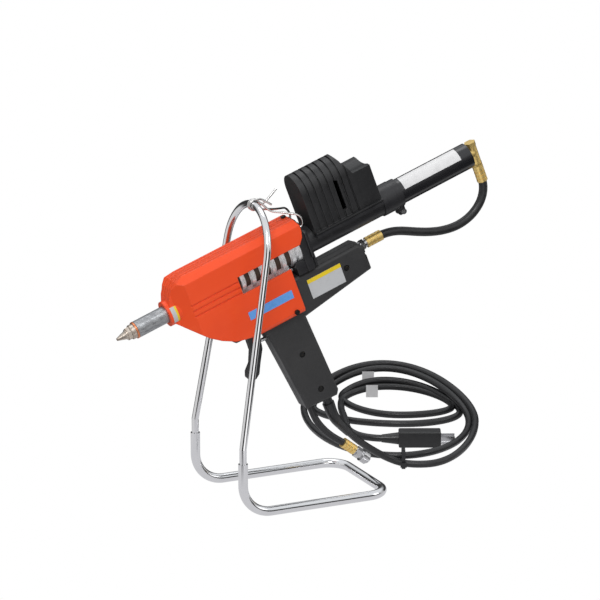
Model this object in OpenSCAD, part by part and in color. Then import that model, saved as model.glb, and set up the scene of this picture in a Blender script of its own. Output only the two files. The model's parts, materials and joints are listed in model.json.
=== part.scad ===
// Slug-fed hot-melt gun hanging by a wire bail on a bent tube-and-rod stand.
// +Z is up, the nozzle points to -X, and the stand stands on z = 0.
// Parts of the gun are drawn in the gun's own frame: X runs along the bore from the
// nozzle tip, Y across and Z up from the bore, and in_gun() tips that frame nose down.

/* [Stand] */
// Width between the centres of the two base tubes
stand_w = 144; // [120:1:180]
// Outer diameter of the base tube
base_d = 12; // [10:0.5:14]
// Diameter of the upright rod
rod_d = 9; // [8:0.5:10]
// Height at which the rod enters the base tube
joint_h = 72; // [60:1:80]
// Length of the base, from upright to rear tube
base_l = 202; // [180:1:230]
// Height of the centre of the rod at the top of the loop
loop_top = 379.5; // [370:0.5:390]
// Lean of the loop towards the rear, in degrees
loop_lean = 9.5; // [6:0.5:12]

/* [Gun] */
// Angle at which the gun hangs, nose down
pitch = 20.6; // [15:0.1:25]
// Distance from the nozzle tip to the front face of the cylinder's rear cap
tube_end = 508; // [500:1:520]
// Outer diameter of the nose barrel
nose_d = 21.6; // [20:0.1:24]
// Radius of the bore that a slug of adhesive slides in
bore_r = 15.7; // [15:0.1:16]
// Outer diameter of the air cylinder
cyl_d = 33; // [32:0.5:34]

/* [Heat shield] */
// Half width of the heat shield
shield_hw = 24; // [23:0.5:25]
// Height of its flat top above the bore
shield_top = 39; // [38:0.5:40]
// Wall thickness of the heat shield
shield_wall = 2.5; // [2:0.1:3]
// Where the side window starts
window_s = 165; // [160:1:170]

/* [Handle] */
// Half width of the housing and handle
body_hw = 15; // [14:0.5:16]
// Wall thickness of the housing
body_wall = 2.5; // [2:0.1:3]

/* [Magazine hood] */
// Half width of the hood
hood_hw = 23.6; // [23:0.1:25]
// Height of the hood above the bore
hood_top = 88; // [80:1:92]
// Number of ribs round the hood
hood_ribs = 8; // [5:1:8]

/* [Cords] */
// Diameter of the mains cord
cord_d = 9.3; // [8:0.1:10]
// Diameter of the two air hoses
hose_d = 11; // [10:0.5:12]

/* [Hidden] */
$fn = 32;
e = 0.01;                      // how far a cutter runs past a face

// The origin is under the middle of the object, so the stand's uprights are at -origin_x.
origin_x = 118.6;
tip = [-136 - origin_x, 0, 229.6];
up_x = -origin_x;

base_r = base_d / 2;
rod_r = rod_d / 2;
bend_r = 38;                   // bend between upright and floor run, on the centreline
corner_r = 28;                 // bend at the two rear corners, on the centreline
knee_h = 90;                   // where the rod starts to lean
arch_r = 58;                   // radius of the loop's top
fit = 0.05;                    // radial clearance of a running fit

nose_r = nose_d / 2;
cyl_r = cyl_d / 2;
cyl_bore_r = 14.2;
chamber_s = [104, 256];        // melt chamber, front and rear
frame_s = [256, 269];          // front frame, front and rear
hood_s = [280, 378];           // hood, front and rear
ring_s = [380, 400];           // clamp ring at the back of the trough
lower_s = 234;                 // rear edge of the shield's lower panel
hinge = [30, 11];              // hood hinge, across and above the bore
pin_r = 1.5;
wire_r = 1.3;
trigger_at = [162, -70];       // trigger pivot, along and above the bore
stem_t = -92;                  // height of the valve stem
hose_t = -41;                  // height of the hose nut on the housing
elbow_s = 522;

orange = [0.90, 0.30, 0.16];
black = [0.16, 0.16, 0.17];
steel = [0.75, 0.76, 0.78];
brass = [0.80, 0.62, 0.25];

// Places things drawn in the gun's frame.
module in_gun() {
    translate(tip) rotate([0, -pitch, 0]) children();
}

// A point of the gun's frame as a point of the whole object.
function from_gun(p) = tip + [p[0] * cos(pitch) - p[2] * sin(pitch), p[1],
    p[0] * sin(pitch) + p[2] * cos(pitch)];

// A cylinder along the bore's direction, from s0 to s1.
module bar(s0, s1, r, y = 0, t = 0, n = 48) {
    translate([s0, y, t]) rotate([0, 90, 0]) cylinder(h = s1 - s0, r = r, $fn = n);
}

// A cylinder across the gun, from y0 to y1.
module cross_bar(y0, y1, r, s, t, n = 32) {
    translate([s, y0, t]) rotate([-90, 0, 0]) cylinder(h = y1 - y0, r = r, $fn = n);
}

// A turned part along the bore: points are [radius, distance from the tip].
module turned(points) {
    rotate([0, 90, 0]) rotate_extrude($fn = 64) polygon(points);
}

// A box from one corner to another.
module block(a, b) {
    translate(a) cube(b - a);
}

// A plate cut to a side outline of [s, t] points, from y0 to y1.
module side_plate(y0, y1) {
    translate([0, y1, 0]) rotate([90, 0, 0]) linear_extrude(y1 - y0) children();
}

// A smooth curve through points: n steps for each stretch between two of them.
function spline_at(p, i, f) =
    let (a = p[max(i - 1, 0)], b = p[i], c = p[i + 1], d = p[min(i + 2, len(p) - 1)])
    0.5 * (2 * b + f * (c - a) + f * f * (2 * a - 5 * b + 4 * c - d)
        + f * f * f * (3 * b - a - 3 * c + d));
function spline(p, n) = concat([for (i = [0:len(p) - 2]) for (k = [0:n - 1])
    spline_at(p, i, k / n)], [p[len(p) - 1]]);
function unit(v) = v / norm(v);
function heading(p, i) = unit(p[min(i + 1, len(p) - 1)] - p[max(i - 1, 0)]);
// Carries a vector that is square to the curve from one point of it to the next.
function carried(p) = [for (i = 0, u = unit(cross(heading(p, 0), [0.1, 1, 0.2]));
    i < len(p); i = i + 1, u = i < len(p) ? unit(u - (u * heading(p, i)) * heading(p, i)) : u) u];

// A round tube of radius r along points, closed at both ends.
module tube_along(p, r, sides = 8) {
    side = carried(p);
    rings = [for (i = [0:len(p) - 1]) for (k = [0:sides - 1])
        let (u = side[i], w = cross(heading(p, i), u), a = 360 * k / sides)
        p[i] + r * (cos(a) * u + sin(a) * w)];
    last = (len(p) - 1) * sides;
    walls = [for (i = [0:len(p) - 2]) for (k = [0:sides - 1])
        let (a = i * sides + k, b = i * sides + (k + 1) % sides)
        each [[a, a + sides, b], [b, a + sides, b + sides]]];
    ends = [[for (k = [0:sides - 1]) k], [for (k = [sides - 1:-1:0]) last + k]];
    polyhedron(rings, concat(walls, ends));
}

// ---------------------------------------------------------------- stand

// One side of the base: upright, bend and floor run. side is -1 or 1.
module base_side(side) {
    y = side * stand_w / 2;
    translate([up_x, y, base_r + bend_r]) {
        cylinder(h = joint_h - base_r - bend_r, r = base_r, $fn = 32);
        translate([bend_r, 0, 0]) rotate([90, 0, 0]) rotate([0, 0, 180])
            rotate_extrude(angle = 90, $fn = 96) translate([bend_r, 0]) circle(base_r, $fn = 32);
    }
    translate([up_x + bend_r, y, base_r]) rotate([0, 90, 0])
        cylinder(h = base_l - corner_r - bend_r, r = base_r, $fn = 32);
    translate([up_x + base_l - corner_r, y - side * corner_r, base_r])
        rotate([0, 0, side > 0 ? 0 : -90])
            rotate_extrude(angle = 90, $fn = 96) translate([corner_r, 0]) circle(base_r, $fn = 32);
}

module base_tube() {
    color(steel) difference() {
        union() {
            for (side = [-1, 1]) base_side(side);
            translate([up_x + base_l, -stand_w / 2 + corner_r, base_r]) rotate([-90, 0, 0])
                cylinder(h = stand_w - 2 * corner_r, r = base_r, $fn = 32);
        }
        for (side = [-1, 1]) translate([up_x, side * stand_w / 2, joint_h - 22])
            cylinder(h = 22 + e, r = rod_r + fit, $fn = 32);
    }
}

// The loop lies in a plane that leans by loop_lean; w is the distance up that plane.
arch_w = (loop_top - knee_h) / cos(loop_lean) - arch_r;
// Angle of each leg in that plane, so that it runs into the arch without a kink.
leg_a = acos(arch_r / norm([stand_w / 2, arch_w])) - atan2(arch_w, stand_w / 2);

module loop_rod() {
    leg = [arch_r * cos(leg_a), arch_w + arch_r * sin(leg_a)];
    leg_l = norm([stand_w / 2 - leg[0], leg[1]]);
    lap = 0.4;                 // the straights run past the knee by this
    slim = 0.02;               // the legs are thinner by this, so that they end inside the arch
    color(steel) {
        for (side = [-1, 1]) translate([up_x, side * stand_w / 2, joint_h - 21])
            cylinder(h = knee_h - joint_h + 21 + lap, r = rod_r, $fn = 32);
        translate([up_x, 0, knee_h]) rotate([0, loop_lean, 0]) {
            for (side = [-1, 1]) translate([0, side * stand_w / 2, 0]) rotate([side * leg_a, 0, 0])
                translate([0, 0, -lap]) cylinder(h = leg_l + lap + 1.2, r = rod_r - slim, $fn = 32);
            translate([0, 0, arch_w]) rotate([90, 0, 90]) rotate([0, 0, leg_a])
                rotate_extrude(angle = 180 - 2 * leg_a, $fn = 96)
                    translate([arch_r, 0]) circle(rod_r, $fn = 32);
            // collar that the bail hangs on
            translate([0, -4.2, arch_w + arch_r]) rotate([-90, 0, 0])
                cylinder(h = 8.4, r = rod_r + 0.4, $fn = 32);
        }
    }
}

// ---------------------------------------------------------------- nose and melt chamber

module nozzle() {
    color([0.72, 0.68, 0.62]) in_gun() difference() {
        union() {
            turned([[0, 0], [1.7, 0], [2.2, 1.6], [5.4, 12], [6.4, 12.6], [6.4, 14.4], [0, 14.4]]);
            bar(14, 19.4, 8.4, n = 6);
            turned([[0, 19], [8.8, 19], [9.4, 19.6], [9.4, 24.8], [7, 24.8], [7, 36], [0, 36]]);
        }
        turned([[0, -1], [1, -1], [1, 9], [4.2, 12], [4.2, 37], [0, 37]]);
    }
}

module nozzle_washer() {
    color([0.75, 0.38, 0.22]) in_gun()
        turned([[7.1, 24.8], [10.9, 24.8], [10.9, 26.8], [7.1, 26.8]]);
}

module check_ball() {
    color(steel) in_gun() translate([27.5, 0, 0]) sphere(3.2, $fn = 32);
}

// A coil spring along the bore's direction.
module spring_along(s0, s1, r, turns, y = 0, t = 0) {
    n = turns * 10;
    tube_along([for (i = [0:n]) [s0 + (s1 - s0) * i / n, y + r * cos(36 * i),
        t + r * sin(36 * i)]], 0.45, 6);
}

module check_spring() {
    color(steel) in_gun() spring_along(12.6, 23.7, 2.9, 5);
}

module valve_seat() {
    color(steel) in_gun() turned([[1.8, 30.5], [4.15, 30.5], [4.15, 35.5], [1.8, 35.5]]);
}

module nose_barrel() {
    color([0.55, 0.56, 0.58]) in_gun() difference() {
        turned([[0, 26.8], [nose_r - 0.6, 26.8], [nose_r, 27.4], [nose_r, chamber_s[0]],
            [0, chamber_s[0]]]);
        turned([[0, 26], [7.05, 26], [7.05, 37], [5, 39], [5, 110], [0, 110]]);
    }
}

fin_w = 5;
fin_step = 14.6;

module melt_chamber() {
    color([0.80, 0.81, 0.83]) in_gun() difference() {
        union() {
            turned([[0, chamber_s[0]], [13, chamber_s[0]], [17.5, 116], [17.5, chamber_s[1]],
                [0, chamber_s[1]]]);
            for (k = [0:5]) bar(window_s + 4 + k * fin_step, window_s + 4 + k * fin_step + fin_w, 20.8);
            bar(chamber_s[1] - 5, chamber_s[1], 20.8);
            block([118, -12, -29], [236, 12, -12]);
        }
        turned([[0, 100], [5, 100], [5, 112], [15.2, 150], [15.2, 258], [0, 258]]);
        for (y = [-6, 6]) bar(150, 237, 4.05, y, -23.5, 32);
    }
}

module heater_cartridges() {
    color([0.45, 0.45, 0.47]) in_gun() for (y = [-6, 6]) {
        bar(152, 239, 4, y, -23.5, 32);
        bar(239, 241.5, 2.5, y, -23.5, 32);
    }
}

module thermostat() {
    color([0.30, 0.28, 0.26]) in_gun() {
        translate([140, 0, 17.6]) cylinder(h = 6, r = 8, $fn = 32);
        for (y = [-4, 4]) translate([140, y, 23.6]) cylinder(h = 4, r = 1.2, $fn = 16);
    }
}

// ---------------------------------------------------------------- heat shield

// Side view of the shield as [s, t] points, from the collar round over the top.
shield_side = [[71.5, -10], [73.5, 12], [77, 22], [83, 31], [91, 37], [102, shield_top + 1.5],
    [262, shield_top], [265, 30], [262, 17], [256, 9], [lower_s, 9], [lower_s, -77],
    [173, -77], [135, -67], [118, -57], [105, -46.5], [84, -24]];
// Half of its view from above, as [s, y] points, and half of its section, as [y, t].
shield_plan = [[66, 12], [80, 12.5], [98, shield_hw], [264, shield_hw], [266, 12]];
shield_section = [[12.2, shield_top + 2], [shield_hw, 32.6], [shield_hw, -70], [20, -78]];

function mirrored(half) = concat(half, [for (i = [len(half) - 1:-1:0]) [half[i][0], -half[i][1]]]);

// The outer form of the shield, drawn in by g all round.
module shield_form(g) {
    intersection() {
        side_plate(-30, 30) offset(delta = -g) polygon(shield_side);
        translate([0, 0, -90]) linear_extrude(150) offset(delta = -g) polygon(mirrored(shield_plan));
        shield_bar(0, g);
    }
}

// The shield's section, drawn in by g, run from s0 to s = 300.
module shield_bar(s0, g) {
    rotate([90, 0, 90]) translate([0, 0, s0]) linear_extrude(300 - s0) offset(delta = -g)
        polygon(concat(shield_section, [for (i = [3:-1:0])
            [-shield_section[i][0], shield_section[i][1]]]));
}

// Both halves of the shield together.
module shield_whole() {
    difference() {
        union() {
            shield_form(0);
            bar(69, 86, 16.5);
        }
        shield_form(shield_wall);
        bar(60, 90, nose_r + 0.4);
        bar(75, 100, nose_r + 2.6);
        // open at the back and underneath
        intersection() {
            shield_bar(250, shield_wall);
            block([249, -30, -100], [301, 30, shield_top - shield_wall]);
        }
        block([132, -shield_hw + shield_wall, -100], [250, shield_hw - shield_wall, -40]);
        block([225, -shield_hw + shield_wall, -100], [300, shield_hw - shield_wall, 20]);
        // window through both sides, open to the rear
        block([window_s, -30, -15], [300, 30, 9]);
        // grooves along the top that run down over the front
        for (y = [-9, -3, 3, 9]) intersection() {
            block([60, y - 0.6, 20], [262, y + 0.6, 50]);
            difference() {
                side_plate(-30, 30) offset(delta = 1) polygon(shield_side);
                side_plate(-31, 31) offset(delta = -0.9) polygon(shield_side);
            }
        }
        // grooves along each side ahead of the window
        for (y = [-1, 1]) for (t = [3, -4.5, -12]) translate([130.5, y * shield_hw, t])
            cube([67, 2.4, 2.2], center = true);
        // screw holes
        for (y = [-1, 1]) cross_bar(y > 0 ? 10 : -30, y > 0 ? 30 : -10, 1.7, 222, -70);
        translate([258, 6, 30]) cylinder(h = 20, r = 1.7, $fn = 32);
    }
}

module shield_left() {
    color(orange) in_gun() intersection() {
        shield_whole();
        block([50, -40, -90], [280, 0, 60]);
    }
}

module shield_right() {
    color(orange) in_gun() intersection() {
        shield_whole();
        block([50, 0, -90], [280, 40, 60]);
    }
}

module shield_screws() {
    color(black) in_gun() {
        for (y = [-1, 1]) {
            cross_bar(y > 0 ? shield_hw : -shield_hw - 1.8, y > 0 ? shield_hw + 1.8 : -shield_hw,
                3.4, 222, -70);
            cross_bar(y > 0 ? body_hw - 8 : -shield_hw, y > 0 ? shield_hw : 8 - body_hw,
                1.5, 222, -70);
        }
        translate([258, 6, shield_top + 0.1]) cylinder(h = 1.8, r = 3.4, $fn = 32);
        translate([258, 6, shield_top - 11]) cylinder(h = 11.1, r = 1.5, $fn = 32);
    }
}

// ---------------------------------------------------------------- frame, bail and breech

bail_hole = [17, 27];          // where each end of the bail enters the frame, [y, t]

module front_frame() {
    color(black) in_gun() difference() {
        union() {
            rotate([90, 0, 90]) translate([0, 0, frame_s[0]]) linear_extrude(10)
                polygon([[-21, -30], [-21, 29.5], [-10, 35.6], [10, 35.6], [21, 29.5], [21, -30]]);
            rotate([90, 0, 90]) translate([0, 0, 265.9]) linear_extrude(3.1)
                polygon([[-17, -30], [-17, -14], [-24, -14], [-24, 20], [-20, 24], [20, 24],
                    [24, 20], [24, -14], [17, -14], [17, -30]]);
            // cradle under the rear of the melt chamber
            difference() {
                block([243, -20, -30], [257, 20, -13]);
                bar(240, 258, 21);
            }
        }
        bar(250, 280, bore_r);
        for (y = [-1, 1]) bar(257, 280, wire_r + 0.1, y * bail_hole[0], bail_hole[1], 32);
        for (y = [-13, 13]) bar(262, 280, 1.6, y, -24, 32);
        translate([258, 6, 24]) cylinder(h = 20, r = 1.55, $fn = 32);
    }
}

// The bail is bent from one wire: two turns round the loop, two legs down to the frame.
coil_in_r = rod_r + 0.7;
coil_r = coil_in_r + wire_r;
loop_at = [up_x + (loop_top - knee_h) * tan(loop_lean), 0, loop_top];
// Legs in the gun's frame, from the coil to the hole in the frame.
near_leg = [[231, -2.8, 78.6], [235, -3.6, 71.7], [242, -5, 59.5], [252, -9, 53.5], [261, -14, 48.5],
    [268, -17.5, 44.5], [271.5, -18.3, 38], [271, -17.5, 31], [268.3, -17, 27.6],
    [264.5, -17, 27], [258.5, -17, 27]];
far_leg = [for (p = near_leg) [p[0], -p[1], p[2]]];
// The two cut ends of the wire, past the coil.
long_end = [[231, 2.8, 72.1], [237, 2, 70.6], [243.4, 1, 72.3], [260.4, 0, 80.5]];
short_end = [[230, -2.8, 80], [233.8, -2.8, 79.8], [237.4, -2.8, 76.6]];

module hanger_bail() {
    color(steel) {
        translate(loop_at) for (y = [-1, 0, 1]) translate([0, y * 2.8, 0]) rotate([90, 0, 0])
            rotate_extrude($fn = 48) translate([coil_r, 0]) circle(wire_r + 0.15, $fn = 16);
        in_gun() {
            tube_along(spline(near_leg, 3), wire_r);
            tube_along(spline(far_leg, 3), wire_r);
            tube_along(spline(long_end, 3), wire_r);
            tube_along(spline(short_end, 2), wire_r);
        }
    }
}

module breech_trough() {
    color(black) in_gun() difference() {
        union() {
            bar(frame_s[1], ring_s[0], 17.5);
            bar(ring_s[0], ring_s[1], 19.2);
            block([frame_s[1], -17.5, -29], [frame_s[1] + 3, 17.5, 20]);
            block([hood_s[0], -27, 6], [hood_s[1], -12, 10]);
            block([hood_s[0], 12, 6], [hood_s[1], 26.3, 10]);
            // hinge knuckles
            for (s = [[284, 300], [330, 346]]) {
                bar(s[0], s[1], 3.4, hinge[0], hinge[1]);
                block([s[0], 25, 6], [s[1], hinge[0] + 1, 9.9]);
            }
        }
        bar(frame_s[1] - 1, 388, bore_r);
        bar(388, ring_s[1] + 1, cyl_r + fit);
        // loading opening
        block([hood_s[0] + 3, -bore_r, 0], [hood_s[1] - 3, bore_r, 30]);
        block([hood_s[0] - e, -20, 10], [hood_s[1] + e, 20, 30]);
        bar(280, 350, pin_r + fit, hinge[0], hinge[1], 32);
        for (y = [-13, 13]) bar(268, 280, 1.6, y, -24, 32);
    }
}

// Section of the hood as [y, t], half width w and crown radius w.
module hood_arch(w, bottom) {
    translate([-w, bottom]) square([2 * w, hood_top - hood_hw - bottom]);
    translate([0, hood_top - hood_hw]) circle(w, $fn = 64);
}

module arch_slab(s0, s1, w, bottom) {
    translate([s0, 0, 0]) rotate([90, 0, 90]) linear_extrude(s1 - s0) hood_arch(w, bottom);
}

rib_step = 9.4;
rib_w = 7;
hood_low = 61;                 // top of the box behind the ribbed crown

module hood() {
    base = hinge[1] - 0.7;
    color(black) in_gun() difference() {
        union() {
            difference() {
                union() {
                    arch_slab(hood_s[0] + 0.4, 353, hood_hw - 2.4, base + 1);
                    for (k = [0:hood_ribs - 1]) arch_slab(hood_s[0] + 0.4 + k * rib_step,
                        hood_s[0] + 0.4 + k * rib_step + rib_w, hood_hw, base + 1);
                }
                // the crown slopes down to the tail box
                side_plate(-30, 30) polygon([[340, 89], [353.5, hood_low - 1], [370, hood_low - 1],
                    [370, 95], [340, 95]]);
            }
            // tail box with a shallow saddle across its top
            difference() {
                block([345, -hood_hw + 1.2, base + 1],
                    [hood_s[1], hood_hw - 1.2, hood_low]);
                translate([340, 0, hood_low + 40]) rotate([0, 90, 0]) cylinder(h = 50, r = 43, $fn = 96);
            }
            block([hood_s[0] + 0.4, -27, base], [hood_s[1], 27, base + 3]);
            for (s = [[300.5, 329.5]]) {
                bar(s[0], s[1], 3.4, hinge[0], hinge[1]);
                block([s[0], 25, base], [s[1], hinge[0], base + 3]);
            }
        }
        // the bore runs through both ends
        bar(hood_s[0] - 1, hood_s[1] + 1, 16);
        // inside of the crown and of the tail box
        arch_slab(hood_s[0] + 3, 340.5, hood_hw - 4.6, 0);
        block([339, -hood_hw + 3.6, 0], [hood_s[1] - 2.5, hood_hw - 3.6, hood_low - 6]);
        // the sight slot through both sides
        block([325.5, -30, 23], [330.5, 30, 63]);
        bar(280, 350, pin_r + fit, hinge[0], hinge[1], 32);
        // room for the trough's knuckles
        for (s = [[283, 300.5], [329.5, 347]]) block([s[0], 26, 0], [s[1], 40, 20]);
    }
}

module hood_pin() {
    color(steel) in_gun() {
        bar(283, 347, pin_r, hinge[0], hinge[1], 32);
        bar(281.8, 283.2, 2.6, hinge[0], hinge[1], 32);
    }
}

// ---------------------------------------------------------------- air cylinder

module cylinder_tube() {
    color(black) in_gun() difference() {
        bar(392, tube_end, cyl_r);
        bar(390, tube_end + 2, cyl_bore_r);
    }
}

module cylinder_front_cap() {
    color(steel) in_gun() difference() {
        union() {
            bar(388, 392, cyl_r);
            bar(391, 400, cyl_bore_r);
        }
        bar(380, 410, 5 + fit);
    }
}

module cylinder_rear_cap() {
    color(black) in_gun() difference() {
        union() {
            bar(tube_end, tube_end + 6, cyl_r);
            bar(tube_end - 8, tube_end + 1, cyl_bore_r);
        }
        bar(tube_end - 10, tube_end + 10, 4.05);
    }
}

module cylinder_clamp() {
    color(black) in_gun() difference() {
        union() {
            bar(400.3, 409, 18.6);
            block([400.3, -7, -27], [409, 7, -15]);
        }
        bar(399, 412, cyl_r + fit);
        block([399, -1, -30], [412, 1, -10]);
        cross_bar(-10, 10, 2.05, 404.6, -22.5);
    }
}

module clamp_screw() {
    color(steel) in_gun() {
        cross_bar(-9, 7, 2, 404.6, -22.5);
        cross_bar(-11.5, -7, 3.6, 404.6, -22.5);
    }
}

// ---------------------------------------------------------------- pusher

piston_s = [486, 497];
plate_s = [373, 381];
neck_r = 3.5;

module piston() {
    color(steel) in_gun() difference() {
        bar(piston_s[0], piston_s[1], 13.9);
        difference() {
            bar(piston_s[0] + 4, piston_s[0] + 7, 15);
            bar(piston_s[0] + 3, piston_s[0] + 8, 11.4);
        }
        bar(480, 500, neck_r);
    }
}

module piston_seal() {
    color(black) in_gun() translate([piston_s[0] + 5.5, 0, 0]) rotate([0, 90, 0])
        rotate_extrude($fn = 64) translate([12.75, 0]) circle(1.35, $fn = 24);
}

module piston_rod() {
    color(steel) in_gun() {
        bar(plate_s[1], piston_s[0], 5);
        bar(plate_s[0] + 1, plate_s[1] + 1, neck_r);
        bar(piston_s[0] - 1, piston_s[1], neck_r);
    }
}

module pusher_plate() {
    color(steel) in_gun() difference() {
        bar(plate_s[0], plate_s[1], 15.3);
        bar(plate_s[0] + 1, plate_s[1] + 1, neck_r);
    }
}

// ---------------------------------------------------------------- link hose

module brass_elbow() {
    color(brass) in_gun() {
        bar(tube_end - 4, elbow_s, 4);
        bar(tube_end + 6.2, elbow_s, 7.5);
        translate([elbow_s, 0, -15]) cylinder(h = 25, r = 6.6, $fn = 32);
        translate([elbow_s, 0, 9]) cylinder(h = 6, r = 7.6, $fn = 6);
        translate([elbow_s, 0, -18]) cylinder(h = 3.5, r = 7.4, $fn = 6);
    }
}

module rear_ferrule() {
    color(brass) in_gun() difference() {
        translate([elbow_s, 0, -40]) cylinder(h = 22, r = 6.9, $fn = 32);
        for (t = [-36, -31, -26]) translate([elbow_s, 0, t]) difference() {
            cylinder(h = 1.6, r = 8, $fn = 32);
            translate([0, 0, -1]) cylinder(h = 4, r = 6.3, $fn = 32);
        }
    }
}

link_points = [[522, 0, -40], [521, 0, -47], [517, 0, -56], [508, 0, -66.5], [492, 0, -75.5],
    [471.5, 0, -79], [451, 0, -76], [432, 0, -69], [414, 0, -59.5], [397, 0, -49.5],
    [383, 0, -43.5], [369, 0, hose_t]];

module link_hose() {
    color(black) in_gun() tube_along(spline(link_points, 2), hose_d / 2, 10);
}

module front_ferrule() {
    color(brass) in_gun() difference() {
        bar(347, 369, 6.9, 0, hose_t, 32);
        for (s = [351, 356, 361]) difference() {
            bar(s, s + 1.6, 8, 0, hose_t, 32);
            bar(s - 1, s + 3, 6.3, 0, hose_t, 32);
        }
    }
}

module hose_nut() {
    color(steel) in_gun() {
        bar(330, 339, 5, 0, hose_t, 32);
        bar(338.2, 343, 7.4, 0, hose_t, 6);
        bar(342, 347, 5.2, 0, hose_t, 32);
    }
}

// ---------------------------------------------------------------- housing and handle

grip_side = [[176, -60], [183, -92], [189, -150], [194, -200], [238, -202.5], [242, -196],
    [239, -170], [233, -112], [233, -60]];
barrel_side = [[176, -33], [330, -31.5], [338, -38], [338, -70], [300, -73], [246, -81.5],
    [236, -86], [176, -86]];
front_side = [[135, -63], [135, -72], [139, -76], [178, -78], [178, -45], [150, -45]];

// A plate of half width w with its long edges cut back by c, drawn in by g.
module chamfered(w, c, g) {
    hull() {
        side_plate(-w + c + g, w - c - g) offset(delta = -g) children();
        side_plate(-w + g, w - g) offset(delta = -c - g) children();
    }
}

module housing_form(g) {
    chamfered(body_hw, 3, g) polygon(grip_side);
    chamfered(body_hw, 3, g) polygon(barrel_side);
}

screw_at = [[212.3, -129], [219.5, -183], [306, -52.5]];
gland_at = [227, -202];        // mains cord gland in the handle's foot
tail_at = [203, -200.5];       // air hose in the handle's foot

module housing_whole() {
    difference() {
        union() {
            difference() {
                union() {
                    housing_form(0);
                    side_plate(-9, 9) polygon(front_side);
                }
                housing_form(body_wall);
                // slot that the trigger swings in
                side_plate(-5.4, 5.4) polygon([[140, -50], [140, -90], [182, -90], [182, -45], [150, -45]]);
            }
            // screw posts
            for (p = screw_at) cross_bar(-body_hw + 1, body_hw - 1, 4.8, p[0], p[1]);
            for (y = [-1, 1]) cross_bar(y > 0 ? body_hw - 9 : 1 - body_hw,
                y > 0 ? body_hw - 1 : 9 - body_hw, 4, 222, -70);
            cross_bar(-9, -5.5, 5.2, trigger_at[0], trigger_at[1]);
            cross_bar(5.5, 9, 5.2, trigger_at[0], trigger_at[1]);
        }
        for (p = screw_at) {
            cross_bar(-body_hw - 1, body_hw - 3, 1.55, p[0], p[1]);
            cross_bar(-body_hw - 1, -body_hw + 3, 4, p[0], p[1]);
        }
        for (y = [-1, 1]) cross_bar(y > 0 ? body_hw - 8.2 : -16, y > 0 ? 16 : 8.2 - body_hw,
            1.55, 222, -70);
        cross_bar(-10, 10, 2 + fit, trigger_at[0], trigger_at[1]);
        bar(170, 192, 3, 0, stem_t, 32);
        bar(330, 345, 5.1, 0, hose_t, 32);
        translate([gland_at[0], 0, gland_at[1] - 8]) cylinder(h = 16, r = 6.1, $fn = 32);
        translate([tail_at[0], 0, tail_at[1] - 8]) cylinder(h = 16, r = hose_d / 2 + 0.1, $fn = 32);
        // notch in the rear face
        block([335.5, -20, -50], [340, 20, -46.5]);
    }
}

module housing_left() {
    color(black) in_gun() intersection() {
        housing_whole();
        block([100, -20, -220], [350, 0, 0]);
    }
}

module housing_right() {
    color(black) in_gun() intersection() {
        housing_whole();
        block([100, 0, -220], [350, 20, 0]);
    }
}

module housing_screws() {
    color(black) in_gun() for (p = screw_at) {
        cross_bar(-body_hw + 0.6, -body_hw + 3, 3.3, p[0], p[1]);
        cross_bar(-body_hw + 2, body_hw - 4, 1.5, p[0], p[1]);
    }
}

module air_valve_body() {
    color(brass) in_gun() difference() {
        bar(192.2, 218, 8, 0, stem_t);
        bar(190, 212, 4.6, 0, stem_t, 32);
    }
}

module valve_stem() {
    color(steel) in_gun() {
        bar(173.7, 200, 2.4, 0, stem_t, 32);
        translate([173.7, 0, stem_t]) sphere(2.4, $fn = 32);
        bar(196, 199, 4.5, 0, stem_t, 32);
    }
}

module valve_spring() {
    color(steel) in_gun() spring_along(200.2, 211.4, 3.6, 4, 0, stem_t);
}

module trigger() {
    color(black) in_gun() difference() {
        union() {
            side_plate(-5, 5) polygon([[157, -68], [155, -79], [154.5, -97], [148, -112], [140, -120],
                [137.5, -127], [141, -133.5], [148, -134.5], [154.5, -130], [160.5, -118], [170, -101],
                [171, -95], [171, -88], [167.5, -68]]);
            cross_bar(-5, 5, 5.6, trigger_at[0], trigger_at[1]);
        }
        cross_bar(-6, 6, 2 + fit, trigger_at[0], trigger_at[1]);
    }
}

module trigger_pin() {
    color(steel) in_gun() cross_bar(-8.8, 8.8, 2, trigger_at[0], trigger_at[1]);
}

module terminal_block() {
    color([0.85, 0.83, 0.76]) in_gun() difference() {
        block([212, -8, -165], [228, 8, -143]);
        for (t = [-160, -154, -148]) cross_bar(-9, 9, 1.6, 220, t, 16);
    }
}

// ---------------------------------------------------------------- mains cord

gland_tip = from_gun([gland_at[0], 0, gland_at[1] - 18.6]);

module cord_gland() {
    color(black) in_gun() translate([gland_at[0], 0, gland_at[1]]) difference() {
        union() {
            translate([0, 0, -2.2]) cylinder(h = 2.2, r = 7.6, $fn = 32);
            cylinder(h = 6, r = 6, $fn = 32);
            translate([0, 0, -18]) cylinder(h = 16, r1 = 5.4, r2 = 6.6, $fn = 32);
        }
    }
}

// The coil lies behind the stand. It is longer in one direction than in the other.
coil_at = [207.5, 178];
coil_turn = -25.4;             // turn of its short side from +X
coil_out = 114;                // outer radius of its round ends
coil_in = [95, 60];            // inner radius of its near and far end
coil_half = 54;                // half the distance between the centres of its ends
coil_mid = 3;                  // its middle, along its long side
coil_h = 47;

// Mains cord from the gland to the coil, and from the coil to the plug.
lead_points = [gland_tip, gland_tip + [5.5, 1, -13], [56, 9, 75], [85, 22, 48], [113, 31, 27],
    [139, 34, 11]];
end_points = [[128.5, 237.7, 14], [124.5, 189.7, 14], [136.6, 145.2, 13], [152, 123, 12],
    [166, 116, 12]];

module power_cord() {
    color(black) tube_along(spline(lead_points, 2), cord_d / 2);
}

module rounded(near_r, far_r) {
    hull() {
        translate([0, coil_mid - coil_half]) circle(near_r, $fn = 64);
        translate([0, coil_mid + coil_half]) circle(far_r, $fn = 64);
    }
}

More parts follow.
